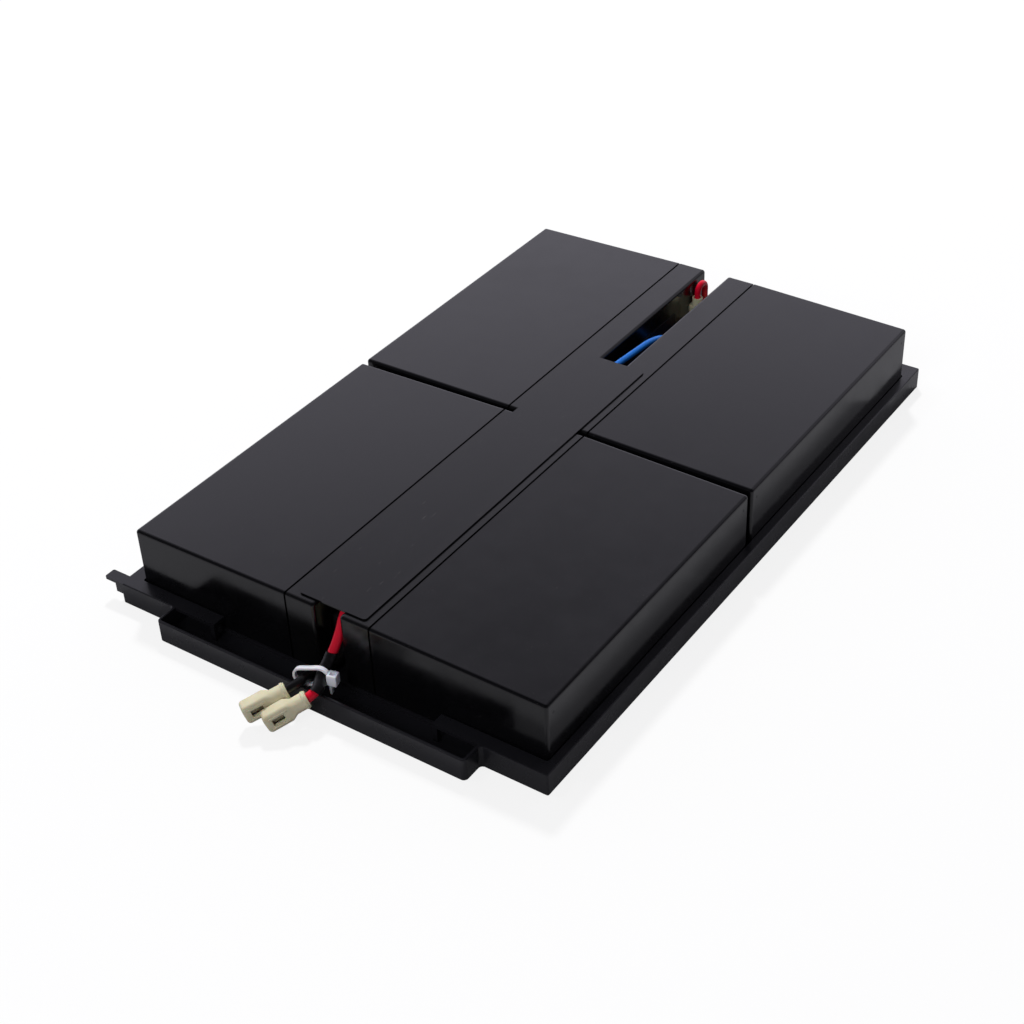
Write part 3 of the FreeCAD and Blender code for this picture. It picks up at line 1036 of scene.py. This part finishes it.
@dataclass
class CableTie:
    """The tie round both leads: strap, head and a short cut tail."""

    black: Vector
    red: Vector
    painter: Painter
    palette: Palette
    inside: float = 3.4
    strap: float = 1.0
    width: float = 2.0
    setback: float = 1.6
    turn: float = 14.0
    head_length: float = 5.0
    head_depth: float = 4.2
    head_lip: float = 1.0
    head_round: float = 0.45
    slot_rim: float = 0.55
    slot_depth: float = 1.1
    tail: float = 5.0
    tail_inset: float = 0.4
    tooth: float = 0.7
    tooth_rise: float = 0.14
    tooth_margin: float = 0.35
    lift: float = 0.2

    def loop(self) -> bpy.types.Object:
        """Model the strap as a band round two circles.

        Returns:
            The strap.
        """
        first = self.black + mm(0, 0, self.lift)
        along = self.red - first
        along.y = 0.0
        Bench.clear()
        bpy.ops.mesh.primitive_circle_add(
            vertices=64, radius=self.inside * MM, rotation=(math.pi / 2, 0, 0)
        )
        band = bpy.context.object
        band.name = "tie_strap"
        bpy.ops.object.transform_apply(location=False, rotation=True, scale=False)
        Bench.pick_edges(band, lambda a, b: min(a.x, b.x) > -1e-6)
        bpy.ops.transform.translate(value=(along.length, 0, 0))
        bpy.ops.mesh.select_all(action="SELECT")
        bpy.ops.mesh.extrude_edges_move(TRANSFORM_OT_translate={"value": (0, self.width * MM, 0)})
        bpy.ops.mesh.select_all(action="SELECT")
        bpy.ops.mesh.normals_make_consistent(inside=False)
        bpy.ops.object.mode_set(mode="OBJECT")
        thick = band.modifiers.new("strap", "SOLIDIFY")
        thick.thickness = self.strap * MM
        thick.offset = 1.0
        bpy.ops.object.modifier_apply(modifier=thick.name)
        edges = band.modifiers.new("edges", "BEVEL")
        edges.width = 0.18 * MM
        edges.segments = 2
        edges.angle_limit = math.radians(50)
        bpy.ops.object.modifier_apply(modifier=edges.name)
        tilt = Matrix.Rotation(-math.atan2(along.z, along.x), 4, "Y")
        near = self.red.y - (self.setback + self.width / 2) * MM
        band.matrix_world = Matrix.Translation(Vector((first.x, near, first.z))) @ tilt
        bpy.ops.object.transform_apply(location=True, rotation=True, scale=False)
        return band

    def head(self) -> bpy.types.Object:
        """Model the head, with its slot and the cut tail through it.

        Returns:
            The head.
        """
        near = self.red.y / MM - self.setback - self.width / 2
        x = self.red.x / MM + self.inside - 0.2
        z = self.red.z / MM
        head = Bench.box(
            "tie_head",
            mm(x, near - self.head_lip, z - self.head_length / 2),
            mm(x + self.head_depth, near + self.width + self.head_lip, z + self.head_length / 2),
            self.head_round * MM,
        )
        Bench.pick_faces(head, Look.ABOVE, x * MM, (x + self.head_depth) * MM)
        bpy.ops.mesh.inset(thickness=self.slot_rim * MM)
        bpy.ops.mesh.extrude_region_move(TRANSFORM_OT_translate={"value": (0, 0, -self.slot_depth * MM)})
        bpy.ops.object.mode_set(mode="OBJECT")
        left = x + self.tail_inset
        tail = Bench.box(
            "tie_tail",
            mm(left, near, z - self.head_length / 2 - self.tail),
            mm(left + self.strap, near + self.width, z),
            0.15 * MM,
        )
        teeth = []
        for step in range(int((self.tail - 1.0) / self.tooth)):
            low = z - self.head_length / 2 - self.tail + (step + 1) * self.tooth
            teeth.append(
                Bench.box(
                    "tooth",
                    mm(left + self.strap - 0.1, near + self.tooth_margin, low),
                    mm(
                        left + self.strap + self.tooth_rise,
                        near + self.width - self.tooth_margin,
                        low + self.tooth / 2,
                    ),
                )
            )
        Bench.join(head, tail, *teeth)
        return head

    def build(self) -> None:
        """Model the tie and turn it to its lie across the leads."""
        band, head = self.loop(), self.head()
        Bench.join(band, head)
        band.name = "tie"
        pivot = Vector(((self.red.x + self.black.x) / 2, self.red.y - self.setback * MM, self.red.z))
        turned = Matrix.Rotation(math.radians(self.turn), 4, "Z")
        Bench.place(band, Matrix.Translation(pivot) @ turned @ Matrix.Translation(-pivot))
        self.painter.piece(band, self.palette.tie, "cable_tie")


@dataclass
class Wiring:
    """Jumpers between the batteries, and the two leads with what they carry."""

    painter: Painter
    palette: Palette
    red_rear: Vector = field(default_factory=lambda: mm(5.4, -173.4, 11.3))
    black_rear: Vector = field(default_factory=lambda: mm(-3.7, -174.7, 12.2))
    red_aim: Vector = field(default_factory=lambda: Vector((-0.55, -0.765, -0.335)).normalized())
    black_aim: Vector = field(default_factory=lambda: Vector((-0.53, -0.80, -0.28)).normalized())
    red_bend: Vector = field(default_factory=lambda: mm(4.2, -162.8, 14.7))
    black_bend: Vector = field(default_factory=lambda: mm(-2.2, -163.4, 12.6))
    gap: float = 3.9
    depth: float = 3.5
    slack: float = 0.9

    def red_route(self) -> tuple[Vector, ...]:
        """The red lead's route: out of its sleeve, over and down into the connector."""
        return (
            mm(3.3, -139.0, 26.5),
            mm(3.3, -139.0, 31.2),
            mm(3.4, -142.7, 34.3),
            mm(3.7, -146.3, 32.2),
            mm(3.9, -149.9, 25.9),
            mm(3.7, -154.6, 20.0),
            self.red_bend,
            self.red_rear - self.red_aim * self.gap * MM,
            self.red_rear + self.red_aim * self.depth * MM,
        )

    def black_route(self) -> tuple[Vector, ...]:
        """The black lead's route: down out of its sleeve and forward to the connector."""
        return (
            mm(-3.3, -139.0, 13.5),
            mm(-3.3, -139.0, 9.0),
            mm(-3.2, -142.5, 5.9),
            mm(-3.0, -150.8, 5.5),
            self.black_bend,
            self.black_rear - self.black_aim * self.gap * MM,
            self.black_rear + self.black_aim * self.depth * MM,
        )

    def build(self) -> None:
        """Lay the leads, then model what they carry."""
        red = Lead(
            "red", self.red_route(), 53.6, self.palette.red, self.painter,
            goes_with=("red_housing", "red_rolled_contact", "shrink_tube", "tie"),
        )
        black = Lead(
            "black", self.black_route(), 46.6, self.palette.black, self.painter,
            goes_with=("black_housing", "black_rolled_contact"),
        )
        wires = (red.build(), black.build())
        for name, rear, aim in (
            ("red", self.red_rear, self.red_aim),
            ("black", self.black_rear, self.black_aim),
        ):
            Plug(name, rear, aim, self.painter, self.palette).build()
        far = self.black_bend - mm(self.slack, 0, 0)
        CableTie(far, self.red_bend, self.painter, self.palette).build()
        for lead, wire in zip((red, black), wires):
            lead.declare(wire)

    def dress(self) -> None:
        """Finish the jumpers and the shrunk tube."""
        self.painter.node("red_jumper", self.palette.red)
        self.painter.node("blue_jumper", self.palette.blue)
        self.painter.node("black_jumper", self.palette.black)
        self.painter.node("shrink_tube", self.palette.shrink)


# --------------------------------------------------------------------------
# The studio
# --------------------------------------------------------------------------


@dataclass
class Lamp:
    """One soft box."""

    name: str
    place: Vector
    size: float
    watts: float

    def build(self) -> None:
        """Hang the lamp, aim it at the cartridge and keep it out of the reflections."""
        data = bpy.data.lights.new(self.name, "AREA")
        data.shape = "DISK"
        data.size = self.size
        data.energy = self.watts
        lamp = bpy.data.objects.new(self.name, data)
        lamp.location = self.place
        lamp.rotation_euler = (-self.place).to_track_quat("-Z", "Y").to_euler()
        lamp.visible_glossy = False
        bpy.context.scene.collection.objects.link(lamp)


@dataclass
class Studio:
    """White floor, white surroundings, soft boxes and the camera."""

    floor_side: float = 12.0
    lens: float = 63.67
    stand: Vector = field(default_factory=lambda: Vector((0.3716, -0.5411, 0.4725)))
    yaw: float = -35.93
    pitch: float = 36.41
    roll: float = -2.76
    floor_seen: str = "f2f2f2"
    floor_lit: str = "a3a3a6"
    floor_glow: float = 0.84
    floor_glint: float = 0.02
    sweep_way: Vector = field(default_factory=lambda: Vector((-0.6, 0.8, 0.0)))
    sweep_foot: float = 0.42
    sweep_head: float = 0.72
    sweep_bright: float = 1.08
    sweep_dim: float = 0.32
    room: float = 0.07
    fill: float = 0.1
    sky: str = "f3f0ff"

    def floor(self) -> None:
        """Lay the floor: white, with most of the shadow's depth taken out."""
        Bench.clear()
        bpy.ops.mesh.primitive_plane_add(size=self.floor_side, location=(0, 0, -0.0002))
        floor = bpy.context.object
        floor.name = "floor"
        bpy.ops.object.transform_apply(location=True, rotation=False, scale=False)
        material = bpy.data.materials.new("floor_white")
        material.use_nodes = True
        tree = material.node_tree
        tree.nodes.clear()
        path = add_node(tree, "ShaderNodeLightPath")
        seen = path.outputs["Is Camera Ray"]
        colour = add_node(
            tree,
            "ShaderNodeMix",
            {6: linear(self.floor_lit), 7: linear(self.floor_seen)},
            {0: seen},
            data_type="RGBA",
        )
        paper = add_node(tree, "ShaderNodeBsdfDiffuse", None, {"Color": colour.outputs[2]})
        white = add_node(tree, "ShaderNodeEmission", {"Strength": 1.0})
        through = add_node(
            tree,
            "ShaderNodeMath",
            None,
            {0: path.outputs["Is Glossy Ray"], 1: path.outputs["Is Transmission Ray"]},
            operation="MAXIMUM",
        )
        shiny = add_node(
            tree,
            "ShaderNodeMath",
            {1: self.floor_glint},
            {0: through.outputs[0]},
            operation="MULTIPLY",
        )
        share = add_node(
            tree,
            "ShaderNodeMath",
            {1: self.floor_glow},
            {0: seen, 2: shiny.outputs[0]},
            operation="MULTIPLY_ADD",
        )
        mix = add_node(
            tree,
            "ShaderNodeMixShader",
            None,
            {0: share.outputs[0], 1: paper.outputs[0], 2: white.outputs[0]},
        )
        add_node(tree, "ShaderNodeOutputMaterial", None, {"Surface": mix.outputs[0]})
        floor.data.materials.append(material)

    def world(self) -> None:
        """Surround the cartridge with a sweep that is white low down and darker overhead."""
        world = bpy.data.worlds.new("studio")
        bpy.context.scene.world = world
        world.use_nodes = True
        tree = world.node_tree
        tree.nodes.clear()
        way = add_node(tree, "ShaderNodeTexCoord").outputs["Generated"]
        height = add_node(tree, "ShaderNodeSeparateXYZ", None, {0: way}).outputs["Z"]
        sweep = add_node(
            tree,
            "ShaderNodeMapRange",
            {
                "From Min": self.sweep_foot,
                "From Max": self.sweep_head,
                "To Min": self.sweep_bright,
                "To Max": self.sweep_dim,
            },
            {"Value": height},
            interpolation_type="SMOOTHSTEP",
        )
        facing = add_node(
            tree, "ShaderNodeVectorMath", {1: self.sweep_way}, {0: way}, operation="DOT_PRODUCT"
        )
        lit = add_node(
            tree,
            "ShaderNodeMapRange",
            {"From Min": 0.1, "From Max": 0.55, "To Min": self.room, "To Max": 1.0},
            {"Value": facing.outputs["Value"]},
            interpolation_type="SMOOTHSTEP",
        )
        both = add_node(
            tree, "ShaderNodeMath", None, {0: sweep.outputs[0], 1: lit.outputs[0]}, operation="MULTIPLY"
        )
        path = add_node(tree, "ShaderNodeLightPath")
        soft = add_node(
            tree,
            "ShaderNodeMath",
            {1: self.fill},
            {0: path.outputs["Is Diffuse Ray"], 2: both.outputs[0]},
            operation="MULTIPLY_ADD",
        )
        level = add_node(
            tree,
            "ShaderNodeMix",
            {3: 1.0},
            {0: path.outputs["Is Camera Ray"], 2: soft.outputs[0]},
            data_type="FLOAT",
        )
        cool = add_node(
            tree,
            "ShaderNodeMix",
            {6: linear(self.sky), 7: linear("ffffff")},
            {0: path.outputs["Is Camera Ray"]},
            data_type="RGBA",
        )
        light = add_node(
            tree, "ShaderNodeBackground", None, {"Strength": level.outputs[0], "Color": cool.outputs[2]}
        )
        add_node(tree, "ShaderNodeOutputWorld", None, {"Surface": light.outputs[0]})

    def camera(self) -> None:
        """Set the camera on its stand."""
        yaw, pitch, roll = (math.radians(a) for a in (self.yaw, self.pitch, self.roll))
        ahead = Vector(
            (math.sin(yaw) * math.cos(pitch), math.cos(yaw) * math.cos(pitch), -math.sin(pitch))
        )
        right = ahead.cross(Vector((0, 0, 1))).normalized()
        up = right.cross(ahead)
        level = right * math.cos(roll) + up * math.sin(roll)
        upright = up * math.cos(roll) - right * math.sin(roll)
        turn = Matrix((level, upright, -ahead)).transposed().to_4x4()
        data = bpy.data.cameras.new("camera")
        data.lens = self.lens
        camera = bpy.data.objects.new("camera", data)
        camera.matrix_world = Matrix.Translation(self.stand) @ turn
        bpy.context.scene.collection.objects.link(camera)
        bpy.context.scene.camera = camera

    def build(self) -> None:
        """Set up the whole studio."""
        self.floor()
        self.world()
        for lamp in (
            Lamp("key", Vector((-0.85, 1.15, 2.0)), 0.25, 46.0),
            Lamp("left", Vector((-0.85, -0.6, 1.9)), 0.25, 3.0),
            Lamp("front", Vector((0.1, -1.5, 1.1)), 0.8, 9.0),
        ):
            lamp.build()
        self.camera()
        bpy.context.scene.view_settings.view_transform = "Standard"


def main() -> None:
    """Build and dress the cartridge, then the studio."""
    logging.basicConfig(level=logging.INFO, format="%(name)s: %(message)s")
    painter, palette = Painter(), Palette()
    Bench.clear()
    Tray(painter, palette).dress()
    for row in Row:
        for side in Side:
            battery = Battery(painter, palette, row, side)
            battery.build()
            battery.dress()
    Cover(painter, palette).dress()
    wiring = Wiring(painter, palette)
    wiring.dress()
    wiring.build()
    Studio().build()


if __name__ == "__main__":
    main()
